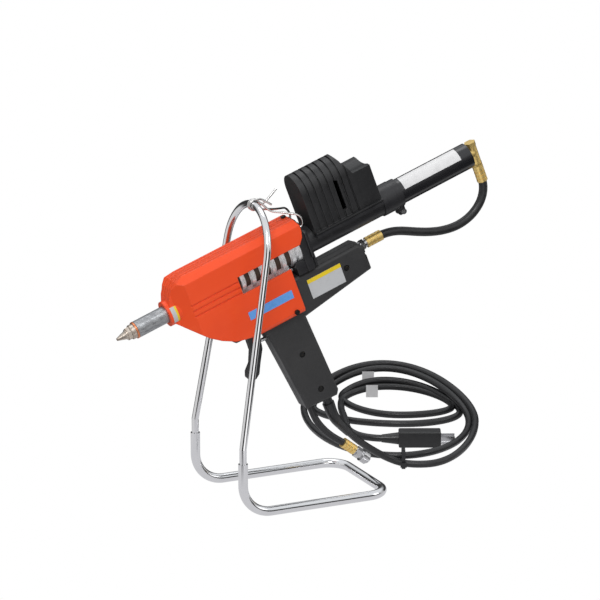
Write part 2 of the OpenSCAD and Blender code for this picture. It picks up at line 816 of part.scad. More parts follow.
module cord_coil() {
    color(black) translate([coil_at[0], coil_at[1], 0]) rotate([0, 0, coil_turn])
        linear_extrude(coil_h) difference() {
            rounded(coil_out, coil_out);
            rounded(coil_in[0], coil_in[1]);
        }
}

module cord_end() {
    color(black) tube_along(spline(end_points, 3), cord_d / 2);
}

plug_turn = -25;

module plug_body() {
    color(black) translate([166, 116, 12]) rotate([0, 0, plug_turn]) difference() {
        union() {
            rotate([0, 90, 0]) cylinder(h = 22, r1 = 5.2, r2 = 8, $fn = 32);
            block([22, -11, -10], [77, 11, 11]);
        }
    }
}

module plug_blades() {
    color(steel) translate([166, 116, 12]) rotate([0, 0, plug_turn]) {
        for (y = [-6.35, 6.35]) block([77, y - 0.75, -2], [95, y + 0.75, 4.3]);
        translate([77, 0, -6.5]) rotate([0, 90, 0]) cylinder(h = 20, r = 2.4, $fn = 24);
    }
}

module cord_tie() {
    color(black) translate([coil_at[0], coil_at[1], 0]) rotate([0, 0, coil_turn])
        translate([15.5, coil_mid - coil_half - coil_out + 1, 0]) difference() {
            union() {
                block([-2.4, -1.5, 0], [2.4, 23, 22]);
                block([-4, -5.5, 3], [4, -1, 9]);
            }
            block([-5, 0, 1.5], [5, 21.5, 20.5]);
        }
}

module cord_tags() {
    color([0.92, 0.92, 0.92]) translate([coil_at[0], coil_at[1], 0]) rotate([0, 0, coil_turn])
        for (p = [[-33, 147, 19], [-28, 130, 5]]) translate(p) cube([16, 0.6, 17]);
}

// ---------------------------------------------------------------- air tail

tail_top = from_gun([tail_at[0], 0, tail_at[1] + 6]);
tail_points = [tail_top, tail_top + [6, -1, -17], [16, -4, 88], [30, -8, 72], [48, -11, 59.5]];
tail_dir = unit([0.79, -0.05, -0.61]);

// Places a turned part so that its axis runs on from the end of the hose.
module on_tail(along) {
    translate(tail_points[4] + tail_dir * along)
        rotate([0, acos(tail_dir[2]), atan2(tail_dir[1], tail_dir[0])]) children();
}

module tail_hose() {
    color(black) tube_along(spline(tail_points, 3), hose_d / 2 - 1, 10);
}

module tail_ferrule() {
    color(brass) on_tail(0) difference() {
        cylinder(h = 19, r = 6.6, $fn = 32);
        for (h = [3, 8, 13]) translate([0, 0, h]) difference() {
            cylinder(h = 1.6, r = 8, $fn = 32);
            translate([0, 0, -1]) cylinder(h = 4, r = 6, $fn = 32);
        }
    }
}

module air_connector() {
    color(steel) on_tail(19) difference() {
        union() {
            cylinder(h = 3, r = 5.5, $fn = 32);
            translate([0, 0, 2.5]) cylinder(h = 7, r = 7.4, $fn = 6);
            translate([0, 0, 9]) cylinder(h = 4, r = 5.4, $fn = 32);
            translate([0, 0, 12.5]) cylinder(h = 9, r = 8.2, $fn = 32);
            translate([0, 0, 21]) cylinder(h = 3, r = 6, $fn = 32);
        }
        translate([0, 0, 14]) cylinder(h = 12, r = 3.5, $fn = 32);
    }
}

// ---------------------------------------------------------------- plain labels

label_h = 0.3;

module shield_label() {
    color([0.42, 0.66, 0.90]) in_gun()
        block([162, -shield_hw - label_h, -50.5], [225, -shield_hw, -39.5]);
}

module housing_label() {
    color([0.82, 0.83, 0.84]) in_gun()
        block([251, -body_hw - label_h, -68.5], [299.5, -body_hw, -42]);
}

module nose_label() {
    color([0.90, 0.88, 0.55]) in_gun() difference() {
        bar(72.5, 80.5, 16.5 + label_h);
        bar(60, 90, 16.5);
        for (t = [-25, 10.3]) block([60, -20, t], [90, 20, t + 14.7]);
        block([60, 0, -20], [90, 20, 20]);
    }
}

module cylinder_label() {
    color([0.90, 0.90, 0.90]) in_gun() translate([414, 0, 0]) rotate([0, 90, 0])
        rotate([0, 0, 180]) rotate_extrude(angle = 70, $fn = 96)
            translate([cyl_r, 0]) square([label_h, 84]);
}

base_tube();
loop_rod();
nozzle();
nozzle_washer();
check_ball();
check_spring();
valve_seat();
nose_barrel();
melt_chamber();
heater_cartridges();
thermostat();
shield_left();
shield_right();
shield_screws();
front_frame();
hanger_bail();
breech_trough();
hood();
hood_pin();
cylinder_tube();
cylinder_front_cap();
cylinder_rear_cap();
cylinder_clamp();
clamp_screw();
piston();
piston_seal();
piston_rod();
pusher_plate();
brass_elbow();
rear_ferrule();
link_hose();
front_ferrule();
hose_nut();
housing_left();
housing_right();
housing_screws();
air_valve_body();
valve_stem();
valve_spring();
trigger();
trigger_pin();
terminal_block();
cord_gland();
power_cord();
cord_coil();
cord_end();
plug_body();
plug_blades();
cord_tie();
cord_tags();
tail_hose();
tail_ferrule();
air_connector();
shield_label();
housing_label();
nose_label();
cylinder_label();
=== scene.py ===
"""Hot-melt glue gun on its bench stand: the looks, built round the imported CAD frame.

Lengths are in metres and the frame is the CAD's: +Z up, nozzle towards -X. Pieces of the gun are
worked out in the gun's own frame (s along the bore from the nozzle tip, y across, t up from the
bore, in millimetres) and placed with on_gun().
"""
import json
import math

import bmesh
import bpy
from mathutils import Matrix, Vector

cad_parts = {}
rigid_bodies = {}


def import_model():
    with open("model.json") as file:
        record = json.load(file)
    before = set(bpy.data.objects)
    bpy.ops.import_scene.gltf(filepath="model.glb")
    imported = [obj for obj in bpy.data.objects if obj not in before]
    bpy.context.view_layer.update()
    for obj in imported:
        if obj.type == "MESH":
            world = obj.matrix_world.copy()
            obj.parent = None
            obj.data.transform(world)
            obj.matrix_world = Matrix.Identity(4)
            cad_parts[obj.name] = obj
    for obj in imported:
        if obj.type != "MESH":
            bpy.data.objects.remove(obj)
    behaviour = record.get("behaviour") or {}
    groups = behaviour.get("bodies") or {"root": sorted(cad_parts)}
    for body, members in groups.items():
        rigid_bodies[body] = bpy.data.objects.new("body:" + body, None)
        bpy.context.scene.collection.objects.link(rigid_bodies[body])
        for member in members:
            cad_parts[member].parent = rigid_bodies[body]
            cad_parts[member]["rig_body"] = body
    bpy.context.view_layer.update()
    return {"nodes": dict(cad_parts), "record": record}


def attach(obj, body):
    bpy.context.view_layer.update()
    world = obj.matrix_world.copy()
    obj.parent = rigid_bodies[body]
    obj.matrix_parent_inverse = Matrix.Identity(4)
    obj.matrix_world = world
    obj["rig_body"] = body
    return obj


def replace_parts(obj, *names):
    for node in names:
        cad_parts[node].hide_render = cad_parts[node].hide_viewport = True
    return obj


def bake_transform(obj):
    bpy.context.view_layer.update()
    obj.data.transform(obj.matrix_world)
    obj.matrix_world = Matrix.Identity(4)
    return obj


MM = 0.001
WHITE = (1.0, 1.0, 1.0)

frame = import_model()
record = frame["record"]
nodes = frame["nodes"]

# ------------------------------------------------------------------ frames

mounts = {m["name"]: m for m in record["mounts"]}
orifice = mounts["nozzle_orifice"]
bore_dir = -Vector(orifice["axis"])
across = Vector((0, 1, 0))
up_dir = bore_dir.cross(across)
ORIFICE_S = 4.0                      # how far behind the tip the orifice's mount lies, mm
gun_tip = Vector(orifice["pos_m"]) - bore_dir * ORIFICE_S * MM
GUN = Matrix((
    (bore_dir.x * MM, 0, up_dir.x * MM, gun_tip.x),
    (0, MM, 0, 0),
    (bore_dir.z * MM, 0, up_dir.z * MM, gun_tip.z),
    (0, 0, 0, 1)))


def on_gun(s, y, t):
    """A point of the gun's frame, in mm, as a point of the row frame, in metres."""
    return GUN @ Vector((s, y, t))


# ------------------------------------------------------------------ camera, floor and light

def make_camera():
    """The photograph's viewpoint, fitted to the stand's straight tubes and the bore."""
    azimuth, elevation = math.radians(-25.44), math.radians(15.84)
    distance, aim_right, aim_up = 5.288, 0.101, 0.2535
    stand_front = 0.1186             # the fit had x = 0 at the stand's uprights
    back = Vector((math.sin(azimuth) * math.cos(elevation),
                   -math.cos(azimuth) * math.cos(elevation), math.sin(elevation)))
    right = Vector((math.cos(azimuth), math.sin(azimuth), 0))
    up = back.cross(right)
    data = bpy.data.cameras.new("camera")
    data.sensor_width, data.lens = 36, 253.8
    data.clip_start, data.clip_end = 0.1, 50
    camera = bpy.data.objects.new("camera", data)
    bpy.context.scene.collection.objects.link(camera)
    camera.rotation_mode = "QUATERNION"
    camera.rotation_quaternion = Matrix((right, up, back)).transposed().to_quaternion()
    camera.location = (back * distance + right * aim_right + up * aim_up
                       - Vector((stand_front, 0, 0)))
    bpy.context.scene.camera = camera


LIGHTS_AIM = (0, 0.05, 0.2)


def make_light(name, place, size, power):
    data = bpy.data.lights.new(name, "AREA")
    data.shape, data.size, data.size_y = "RECTANGLE", size[0], size[1]
    data.energy = power
    lamp = bpy.data.objects.new(name, data)
    lamp.location = place
    lamp.rotation_mode = "QUATERNION"
    lamp.rotation_quaternion = (Vector(LIGHTS_AIM) - Vector(place)).to_track_quat("-Z", "Y")
    bpy.context.scene.collection.objects.link(lamp)


def blend_colour(tree, factor, first, second):
    """The output of a node that mixes two colours, each a colour or an output."""
    mix = tree.nodes.new("ShaderNodeMix")
    mix.data_type = "RGBA"
    tree.links.new(factor, mix.inputs["Factor"])
    for name, value in (("A", first), ("B", second)):
        if isinstance(value, tuple):
            mix.inputs[name].default_value = (*value, 1)
        else:
            tree.links.new(value, mix.inputs[name])
    return mix.outputs["Result"]


def steps(tree, value, stops):
    """A colour ramp from (position, grey level) pairs."""
    ramp = tree.nodes.new("ShaderNodeValToRGB")
    elements = ramp.color_ramp.elements
    for k, (at, level) in enumerate(stops):
        stop = elements[k] if k < 2 else elements.new(at)
        stop.position, stop.color = at, (level, level, level, 1)
    tree.links.new(value, ramp.inputs["Fac"])
    return ramp.outputs["Color"]


# Grey levels round the object for its reflections, by bearing as a share of a turn. The camera
# stands at 0.18.
LEVELS = ((0.0, 0.75), (0.06, 0.75), (0.08, 0.04), (0.17, 0.04), (0.19, 1.2), (0.27, 1.2),
          (0.29, 0.25), (0.31, 0.04), (0.44, 0.05), (0.46, 0.55), (0.52, 0.55), (0.54, 0.04),
          (0.84, 0.04), (0.88, 0.75))


def all_round(tree, at):
    """The grey level at that bearing."""
    gradient = tree.nodes.new("ShaderNodeTexGradient")
    gradient.gradient_type = "RADIAL"
    tree.links.new(at, gradient.inputs["Vector"])
    return steps(tree, gradient.outputs["Fac"], LEVELS)


def make_world():
    """White behind the object; bright and dark bands for its reflections."""
    world = bpy.data.worlds.new("studio")
    world.use_nodes = True
    bpy.context.scene.world = world
    tree = world.node_tree
    at = tree.nodes.new("ShaderNodeTexCoord").outputs["Generated"]
    apart = tree.nodes.new("ShaderNodeSeparateXYZ")
    tree.links.new(at, apart.inputs[0])
    sides = all_round(tree, at)
    over = steps(tree, apart.outputs["Z"], ((0.0, 0.0), (0.32, 0.0), (0.55, 1.0), (1.0, 1.0)))
    seen = blend_colour(tree, over, sides, (0.85, 0.87, 0.89))
    path = tree.nodes.new("ShaderNodeLightPath")
    seen = blend_colour(tree, path.outputs["Is Diffuse Ray"], seen, (0.62, 0.62, 0.63))
    colour = blend_colour(tree, path.outputs["Is Camera Ray"], seen, WHITE)
    tree.links.new(colour, tree.nodes["Background"].inputs["Color"])
    tree.nodes["Background"].inputs["Strength"].default_value = 1.0


FLOOR_SIZE = 12
FLOOR_PLAIN, FLOOR_BANDED = 0.28, 0.46    # how far out it is plain grey, and from where banded


def make_floor():
    """A floor that glows: white to the camera, grey and then banded in the reflections."""
    bpy.ops.mesh.primitive_plane_add(size=FLOOR_SIZE, location=(0, 0, 0))
    floor = bpy.context.object
    floor.name = "floor"
    paint = bpy.data.materials.new("floor")
    paint.use_nodes = True
    tree = paint.node_tree
    path = tree.nodes.new("ShaderNodeLightPath")
    at = tree.nodes.new("ShaderNodeTexCoord").outputs["Object"]
    glow = tree.nodes.new("ShaderNodeEmission")
    away = tree.nodes.new("ShaderNodeVectorMath")
    away.operation = "LENGTH"
    tree.links.new(at, away.inputs[0])
    far = tree.nodes.new("ShaderNodeMapRange")
    far.inputs["From Min"].default_value = FLOOR_PLAIN
    far.inputs["From Max"].default_value = FLOOR_BANDED
    tree.links.new(away.outputs["Value"], far.inputs["Value"])
    seen = blend_colour(tree, far.outputs["Result"], (0.68, 0.68, 0.70), all_round(tree, at))
    seen = blend_colour(tree, path.outputs["Is Diffuse Ray"], seen, (0.5, 0.5, 0.51))
    colour = blend_colour(tree, path.outputs["Is Camera Ray"], seen, WHITE)
    tree.links.new(colour, glow.inputs["Color"])
    tree.links.new(glow.outputs["Emission"], tree.nodes["Material Output"].inputs["Surface"])
    floor.data.materials.append(paint)


def make_studio():
    bpy.context.scene.view_settings.view_transform = "Standard"
    make_world()
    make_light("key", (-0.9, -1.3, 1.7), (0.8, 0.8), 17)
    make_light("fill", (1.6, -1.2, 0.9), (1.0, 1.0), 4)
    make_light("top", (0.1, 0.5, 1.9), (1.2, 0.7), 4.5)
    make_floor()


make_camera()
make_studio()

# ------------------------------------------------------------------ materials

made = {}


class Surface:
    """A Principled material with helpers that add procedural detail to it."""

    def __init__(self, name, colour, rough, metal=0.0):
        self.material = bpy.data.materials.new(name)
        self.material.use_nodes = True
        self.tree = self.material.node_tree
        self.shader = self.tree.nodes["Principled BSDF"]
        self.colour = (*colour, 1)
        self.shader.inputs["Base Color"].default_value = self.colour
        self.shader.inputs["Roughness"].default_value = rough
        self.shader.inputs["Metallic"].default_value = metal
        self.material.diffuse_color = self.colour
        self.base_out = None             # the last tint, which the next one is mixed over
        self.height = None               # the last relief, which the next one is added to
        made[name] = self.material

    def node(self, kind, **values):
        made_node = self.tree.nodes.new(kind)
        for key, value in values.items():
            setattr(made_node, key, value)
        return made_node

    def link(self, a, b):
        self.tree.links.new(a, b)

    def place(self, stretch, tilt):
        """Coordinates in metres that ride with the piece, turned along the bore if tilt is set."""
        at = self.node("ShaderNodeTexCoord")
        mapping = self.node("ShaderNodeMapping")
        mapping.inputs["Scale"].default_value = stretch
        if not tilt:
            self.link(at.outputs["Object"], mapping.inputs["Vector"])
            return mapping.outputs["Vector"]
        turn = self.node("ShaderNodeVectorRotate", rotation_type="Y_AXIS")
        turn.inputs["Angle"].default_value = math.atan2(bore_dir.z, bore_dir.x)
        self.link(at.outputs["Object"], turn.inputs["Vector"])
        self.link(turn.outputs["Vector"], mapping.inputs["Vector"])
        return mapping.outputs["Vector"]

    def grain(self, scale, detail, stretch=(1, 1, 1), tilt=True):
        """Noise whose features are about 1/scale metres across."""
        tex = self.node("ShaderNodeTexNoise")
        tex.inputs["Scale"].default_value = scale
        tex.inputs["Detail"].default_value = detail
        self.link(self.place(stretch, tilt), tex.inputs["Vector"])
        return tex.outputs["Fac"]

    def spread(self, value, low, high, to_low=0.0, to_high=1.0):
        """The value stretched from low..high to to_low..to_high."""
        ramp = self.node("ShaderNodeMapRange")
        ramp.inputs["From Min"].default_value = low
        ramp.inputs["From Max"].default_value = high
        ramp.inputs["To Min"].default_value = to_low
        ramp.inputs["To Max"].default_value = to_high
        self.link(value, ramp.inputs["Value"])
        return ramp.outputs["Result"]

    def tint(self, colour, factor, amount):
        """Mixes a second colour in where factor is high."""
        mix = self.node("ShaderNodeMix", data_type="RGBA")
        mix.inputs["A"].default_value = self.colour
        if self.base_out:
            self.link(self.base_out, mix.inputs["A"])
        mix.inputs["B"].default_value = (*colour, 1)
        self.link(self.spread(factor, 0, 1, 0, amount), mix.inputs["Factor"])
        self.base_out = mix.outputs["Result"]
        self.link(self.base_out, self.shader.inputs["Base Color"])
        return self

    def gloss(self, factor, low, high):
        """Roughness goes from low to high as factor does."""
        self.link(self.spread(factor, 0.3, 0.7, low, high), self.shader.inputs["Roughness"])
        return self

    def bump(self, value, depth, strength):
        """Adds relief of that depth in metres."""
        relief = self.node("ShaderNodeBump")
        relief.inputs["Strength"].default_value = strength
        relief.inputs["Distance"].default_value = depth
        self.link(value, relief.inputs["Height"])
        if self.height:
            self.link(self.height, relief.inputs["Normal"])
        self.height = relief.outputs["Normal"]
        self.link(self.height, self.shader.inputs["Normal"])
        return self

    def worn_edges(self, radius):
        """Shades sharp edges as if they were rounded to that radius in metres."""
        edge = self.node("ShaderNodeBevel", samples=6)
        edge.inputs["Radius"].default_value = radius
        self.height = edge.outputs["Normal"]
        self.link(self.height, self.shader.inputs["Normal"])
        return self

    def set(self, **values):
        """Sets constant shader inputs by name, with _ for each space."""
        for key, value in values.items():
            self.shader.inputs[key.replace("_", " ")].default_value = value
        return self


def orange_shield():
    m = Surface("shield_orange", (0.92, 0.082, 0.014), 0.4)
    m.tint((0.74, 0.055, 0.010), m.spread(m.grain(9, 4), 0.42, 0.70), 0.4)
    m.tint((0.95, 0.14, 0.03), m.spread(m.grain(160, 3, (0.25, 1, 1)), 0.55, 0.8), 0.18)
    m.gloss(m.grain(45, 5), 0.30, 0.44)
    m.worn_edges(0.0016)
    m.bump(m.grain(900, 2), 0.00005, 0.35)
    m.bump(m.grain(60, 2), 0.0003, 0.25)
    m.set(Specular_IOR_Level=0.35, Coat_Weight=0.08, Coat_Roughness=0.3)


def black_shell():
    m = Surface("housing_black", (0.022, 0.022, 0.023), 0.5)
    m.tint((0.055, 0.055, 0.057), m.spread(m.grain(1500, 2), 0.5, 0.75), 0.55)
    m.tint((0.036, 0.035, 0.035), m.spread(m.grain(14, 4), 0.4, 0.7), 0.6)
    m.gloss(m.grain(40, 4), 0.42, 0.6)
    m.bump(m.grain(1300, 3), 0.00012, 0.6)


def hood_black():
    m = Surface("hood_black", (0.011, 0.011, 0.012), 0.42)
    m.tint((0.030, 0.030, 0.032), m.spread(m.grain(700, 3), 0.5, 0.8), 0.5)
    m.tint((0.020, 0.020, 0.021), m.spread(m.grain(18, 4), 0.4, 0.7), 0.6)
    m.gloss(m.grain(35, 4), 0.34, 0.52)
    m.bump(m.grain(650, 3), 0.00016, 0.5)


def frame_black():
    m = Surface("frame_black", (0.014, 0.014, 0.016), 0.38)
    m.tint((0.05, 0.05, 0.052), m.spread(m.grain(420, 4), 0.6, 0.8), 0.5)
    m.gloss(m.grain(60, 4), 0.3, 0.5)
    m.bump(m.grain(500, 3), 0.00008, 0.5)


def cylinder_black():
    m = Surface("cylinder_black", (0.010, 0.010, 0.012), 0.22)
    m.tint((0.06, 0.06, 0.065), m.spread(m.grain(300, 5, (0.15, 1, 1)), 0.66, 0.8), 0.5)
    m.gloss(m.grain(50, 4, (0.3, 1, 1)), 0.16, 0.3)
    m.bump(m.grain(700, 2), 0.00003, 0.4)
    m.set(Coat_Weight=0.4, Coat_Roughness=0.1)


def plated_steel():
    m = Surface("plated_steel", (0.80, 0.80, 0.81), 0.09, 1.0)
    m.tint((0.62, 0.62, 0.64), m.spread(m.grain(30, 3, tilt=False), 0.5, 0.8), 0.25)
    m.gloss(m.grain(90, 5, tilt=False), 0.05, 0.16)
    m.bump(m.grain(450, 3, tilt=False), 0.00002, 0.35)


def wire_steel():
    m = Surface("wire_steel", (0.62, 0.61, 0.60), 0.22, 1.0)
    m.tint((0.34, 0.32, 0.31), m.spread(m.grain(120, 3), 0.5, 0.8), 0.35)
    m.gloss(m.grain(200, 4), 0.14, 0.34)
    m.bump(m.grain(900, 3), 0.00003, 0.4)


def steel(name="steel", colour=(0.60, 0.60, 0.61)):
    m = Surface(name, colour, 0.25, 1.0)
    m.tint((0.36, 0.35, 0.35), m.spread(m.grain(120, 3), 0.5, 0.8), 0.3)
    m.gloss(m.grain(320, 4), 0.18, 0.36)
    m.bump(m.grain(1100, 3), 0.00002, 0.4)


def nozzle_steel():
    m = Surface("nozzle_steel", (0.52, 0.46, 0.40), 0.28, 1.0)
    m.tint((0.30, 0.22, 0.17), m.spread(m.grain(180, 4), 0.45, 0.75), 0.6)
    m.gloss(m.grain(260, 4), 0.2, 0.4)
    m.bump(m.grain(900, 3), 0.00003, 0.4)


def barrel_steel():
    m = Surface("barrel_steel", (0.36, 0.37, 0.38), 0.42, 0.9)
    m.tint((0.16, 0.16, 0.17), m.spread(m.grain(330, 5, (0.5, 1, 1)), 0.45, 0.7), 0.75)
    m.tint((0.55, 0.56, 0.57), m.spread(m.grain(620, 4), 0.6, 0.8), 0.5)
    m.gloss(m.grain(400, 4), 0.32, 0.55)
    m.bump(m.grain(800, 4), 0.00008, 0.5)


def aluminium():
    m = Surface("aluminium", (0.86, 0.86, 0.87), 0.32, 0.55)
    m.tint((0.62, 0.61, 0.61), m.spread(m.grain(90, 3, (3, 1, 1)), 0.5, 0.8), 0.3)
    m.tint((0.40, 0.27, 0.18), m.spread(m.grain(45, 3), 0.66, 0.8), 0.35)
    m.gloss(m.grain(300, 4, (6, 1, 1)), 0.2, 0.42)
    m.bump(m.grain(900, 2, (4, 0.5, 0.5)), 0.00004, 0.5)


def brass():
    m = Surface("brass", (0.86, 0.62, 0.22), 0.34, 0.75)
    m.tint((0.46, 0.28, 0.08), m.spread(m.grain(110, 3), 0.5, 0.8), 0.4)
    m.gloss(m.grain(300, 4), 0.26, 0.44)
    m.bump(m.grain(1000, 3), 0.00003, 0.4)


def copper():
    m = Surface("copper", (0.72, 0.26, 0.12), 0.26, 1.0)
    m.tint((0.34, 0.12, 0.07), m.spread(m.grain(420, 4), 0.5, 0.78), 0.6)
    m.gloss(m.grain(400, 4), 0.2, 0.4)


def rubber(name, colour, rough=0.42):
    m = Surface(name, colour, rough)
    m.tint(tuple(2.4 * c for c in colour), m.spread(m.grain(260, 4), 0.55, 0.8), 0.45)
    m.gloss(m.grain(120, 4), rough - 0.08, rough + 0.1)
    m.bump(m.grain(1200, 3), 0.00005, 0.5)
    m.set(Specular_IOR_Level=0.5)


def plastic(name, colour, rough=0.4):
    m = Surface(name, colour, rough)
    m.tint(tuple(0.72 * c for c in colour), m.spread(m.grain(120, 4), 0.5, 0.8), 0.4)
    m.gloss(m.grain(150, 4), rough - 0.08, rough + 0.1)
    m.bump(m.grain(1100, 3), 0.00004, 0.5)


def dark_screw():
    m = Surface("black_screw", (0.012, 0.012, 0.012), 0.3, 0.4)
    m.tint((0.45, 0.33, 0.14), m.spread(m.grain(500, 3), 0.62, 0.75), 0.5)
    m.gloss(m.grain(500, 3), 0.25, 0.45)


def build_materials():
    orange_shield()
    black_shell()
    hood_black()
    frame_black()
    cylinder_black()
    plated_steel()
    wire_steel()
    steel()
    steel("heater_steel", (0.40, 0.39, 0.40))
    steel("rod_chrome", (0.78, 0.78, 0.79))
    nozzle_steel()
    barrel_steel()
    aluminium()
    brass()
    copper()
    dark_screw()
    rubber("hose_rubber", (0.014, 0.014, 0.015))
    rubber("cord_rubber", (0.012, 0.012, 0.013), 0.36)
    rubber("seal_rubber", (0.02, 0.02, 0.02), 0.5)
    plastic("plug_black", (0.014, 0.014, 0.015), 0.36)
    plastic("tie_black", (0.010, 0.010, 0.011), 0.3)
    plastic("trigger_black", (0.016, 0.016, 0.017), 0.4)
    plastic("thermostat_brown", (0.05, 0.03, 0.02), 0.5)
    plastic("terminal_cream", (0.70, 0.62, 0.46), 0.5)
    plastic("label_blue", (0.13, 0.36, 0.80), 0.3)
    plastic("label_silver", (0.55, 0.56, 0.57), 0.35)
    plastic("label_yellow", (0.85, 0.62, 0.02), 0.35)
    plastic("label_white", (0.75, 0.75, 0.75), 0.35)


build_materials()

for entry in record["subparts"]:
    target = nodes[entry["node"]]
    target.data.materials.clear()
    target.data.materials.append(made[entry["material_slot"]])

# ------------------------------------------------------------------ shapes

FLAT_PIECE, ROUND_PIECE = 35, 60     # degrees from which an edge of such a piece is sharp


def piece(name, mesh, slot, body=None, smooth=FLAT_PIECE):
    """Turns a bmesh into a piece with that material slot that moves with that body."""
    bmesh.ops.recalc_face_normals(mesh, faces=mesh.faces)
    for face in mesh.faces:
        face.smooth = True
    for edge in mesh.edges:
        edge.smooth = edge.calc_face_angle(math.pi) < math.radians(smooth)
    data = bpy.data.meshes.new(name)
    mesh.to_mesh(data)
    mesh.free()
    data.materials.append(made[slot])
    thing = bpy.data.objects.new(name, data)
    bpy.context.scene.collection.objects.link(thing)
    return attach(thing, body) if body else thing


def smooth_line(points, step):
    """Points at most step apart on a smooth curve (Catmull-Rom) through the given ones."""
    pts = [Vector(p) for p in points]
    line = []
    for i in range(len(pts) - 1):
        a, b, c, d = pts[max(i - 1, 0)], pts[i], pts[i + 1], pts[min(i + 2, len(pts) - 1)]
        count = max(1, math.ceil((c - b).length / step))
        for k in range(count):
            f = k / count
            line.append(0.5 * (2 * b + f * (c - a) + f * f * (2 * a - 5 * b + 4 * c - d)
                               + f * f * f * (3 * b - a - 3 * c + d)))
    return line + [pts[-1]]


def evened(line, step, rounds):
    """The line again with even steps, then relaxed that many times with its ends held."""
    along = [0.0]
    for a, b in zip(line, line[1:]):
        along.append(along[-1] + (b - a).length)
    count = max(2, round(along[-1] / step))
    out, i = [], 0
    for k in range(count + 1):
        want = along[-1] * k / count
        while i < len(line) - 2 and along[i + 1] < want:
            i += 1
        f = (want - along[i]) / max(along[i + 1] - along[i], 1e-12)
        out.append(line[i].lerp(line[i + 1], min(f, 1.0)))
    for _ in range(rounds):
        out = [out[0]] + [(a + 2 * b + c) / 4 for a, b, c in zip(out, out[1:], out[2:])] + [out[-1]]
    return out


def add_tube(mesh, line, radius, sides, end_radius=None):
    """A closed tube along a line, tapered to end_radius if there is one."""
    side, rings = None, []
    end_radius = end_radius or radius
    for i, point in enumerate(line):
        heading = (line[min(i + 1, len(line) - 1)] - line[max(i - 1, 0)]).normalized()
        side = heading.orthogonal() if side is None else side
        side = (side - side.dot(heading) * heading).normalized()
        other = heading.cross(side)
        here = radius + (end_radius - radius) * i / (len(line) - 1)
        turns = [2 * math.pi * k / sides for k in range(sides)]
        rings.append([mesh.verts.new(point + here * (math.cos(a) * side + math.sin(a) * other))
                      for a in turns])
    for a, b in zip(rings, rings[1:]):
        for k in range(sides):
            mesh.faces.new((a[k], a[(k + 1) % sides], b[(k + 1) % sides], b[k]))
    mesh.faces.new(rings[0][::-1])
    mesh.faces.new(rings[-1])


def tube(name, line, radius, slot, body, sides):
    mesh = bmesh.new()
    add_tube(mesh, line, radius, sides)
    return piece(name, mesh, slot, body, ROUND_PIECE)


def add_block(mesh, low, high):
    """A box in the gun's frame, in mm."""
    centre = [(a + b) / 2 for a, b in zip(low, high)]
    sizes = [b - a for a, b in zip(low, high)]
    bmesh.ops.create_cube(mesh, size=1.0, matrix=GUN @ Matrix.Translation(centre)
                          @ Matrix.Diagonal((*sizes, 1)))


def add_band(mesh, s0, s1, radius, start, end, thick, count=24):
    """A thin band round the bore from start to end, degrees from straight up towards -Y."""
    outer = radius + thick
    rows = []
    for k in range(count + 1):
        a = math.radians(start + (end - start) * k / count)
        rows.append([mesh.verts.new(on_gun(s, -r * math.sin(a), r * math.cos(a)))
                     for s, r in ((s0, radius), (s1, radius), (s1, outer), (s0, outer))])
    for a, b in zip(rows, rows[1:]):
        for k in range(4):
            mesh.faces.new((a[k], a[(k + 1) % 4], b[(k + 1) % 4], b[k]))
    mesh.faces.new(rows[0][::-1])
    mesh.faces.new(rows[-1])


SHARP_EDGE = math.radians(28)


def softened(node, width, keep=None):
    """Stands for a CAD node with the same shape, its sharp edges rounded off by width mm.

    Edges whose middle doesn't meet keep, a test on a point of the gun's frame, stay sharp.
    """
    body = nodes[node]["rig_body"]
    slot = next(e["material_slot"] for e in record["subparts"] if e["node"] == node)
    mesh = bmesh.new()
    mesh.from_mesh(nodes[node].data)
    bmesh.ops.remove_doubles(mesh, verts=mesh.verts, dist=2e-6)
    bmesh.ops.dissolve_limit(mesh, angle_limit=math.radians(0.5), verts=mesh.verts,
                             edges=mesh.edges)
    inverse = GUN.inverted()
    shortest = 2.2 * width * MM
    chosen = [e for e in mesh.edges if len(e.link_faces) == 2
              and e.calc_face_angle(0) > SHARP_EDGE and e.calc_length() > shortest
              and (keep is None or keep(inverse @ ((e.verts[0].co + e.verts[1].co) / 2)))]
    bmesh.ops.bevel(mesh, geom=chosen, offset=width * MM, segments=2, profile=0.5,
                    affect="EDGES", clamp_overlap=False)
    bmesh.ops.triangulate(mesh, faces=[f for f in mesh.faces if len(f.verts) > 4])
    shown = piece(node + "_shown", mesh, slot, body)
    flatter = shown.modifiers.new("flat faces", "WEIGHTED_NORMAL")
    flatter.keep_sharp, flatter.weight = True, 80
    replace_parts(shown, node)


# ------------------------------------------------------------------ rounded pieces

for name, width in (("housing_left", 0.9), ("housing_right", 0.9), ("front_frame", 0.8),
                    ("trigger", 1.6), ("plug_body", 1.8), ("terminal_block", 0.5)):
    softened(name, width)

HOOD_STEP_S = 338                    # behind it the hood's edges lie too close together to round
softened("hood", 0.8, lambda p: p.x < HOOD_STEP_S)

# ------------------------------------------------------------------ bail and hoses

LOOP_S, LOOP_T = 225.4, 75.43        # the top of the stand's loop, in the gun's frame
WIRE_R = 1.35
WRAP_R, WRAP_HALF = 6.5, 2.8         # the turns round the loop: radius, and half their width
WRAP_STEPS, WRAP_STEP = 62, 15       # how many steps they take, of how many degrees
TUBE_STEP = 0.0012


def wrap_point(degrees, y):
    """A point of the turns round the loop."""
    a = math.radians(degrees)
    return on_gun(LOOP_S + WRAP_R * math.cos(a), y, LOOP_T + WRAP_R * math.sin(a))


